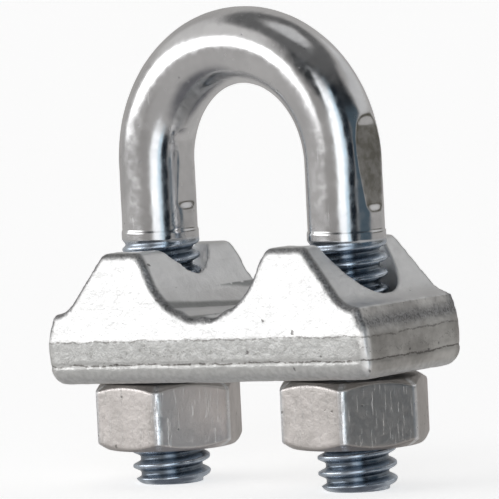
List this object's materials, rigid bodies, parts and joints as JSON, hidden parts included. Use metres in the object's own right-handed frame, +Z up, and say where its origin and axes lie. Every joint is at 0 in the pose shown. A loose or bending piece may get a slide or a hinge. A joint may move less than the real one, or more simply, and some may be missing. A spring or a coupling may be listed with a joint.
{
  "type": "wire rope clip",
  "caption": "Wire rope clip: a round-bar U-bolt with threaded legs, a twin-eared cast saddle with a rope groove, and hex nuts that draw the saddle up towards the bow.",
  "frame": {"origin": "midway between the two legs, at the level of the stud ends", "axes": "+Z up the legs towards the bow, +X from the left leg to the right leg, Y along the rope"},
  "size_m": [0.0329, 0.014, 0.0388],
  "materials": {
    "bright_zinc": "bright zinc-plated steel bar",
    "cast_zinc": "matt galvanised casting with fine pits",
    "satin_zinc": "satin zinc-plated steel"
  },
  "bodies": {
    "u_bolt": {"u_bolt": "bright_zinc"},
    "saddle": {"saddle": "cast_zinc"},
    "nut_left": {"nut_left": "satin_zinc"},
    "nut_right": {"nut_right": "satin_zinc"}
  },
  "joints": [
    {"name": "saddle_slide", "type": "slide", "parent": "u_bolt", "child": "saddle", "axis": [0, 0, 1], "range_m": [-0.003, 0.0095]},
    {"name": "nut_left_turn", "type": "hinge", "parent": "saddle", "child": "nut_left", "pos_m": [-0.0095, 0, 0.0057], "axis": [0, 0, 1], "range_deg": [-851, 2694]},
    {"name": "nut_right_turn", "type": "hinge", "parent": "saddle", "child": "nut_right", "pos_m": [0.0095, 0, 0.0064], "axis": [0, 0, 1], "range_deg": [-851, 2694]}
  ],
  "couplings": [
    {"joint": "nut_left_turn", "follows": "saddle_slide", "rad_per_m": 4947.4},
    {"joint": "nut_right_turn", "follows": "saddle_slide", "rad_per_m": 4947.4}
  ]
}
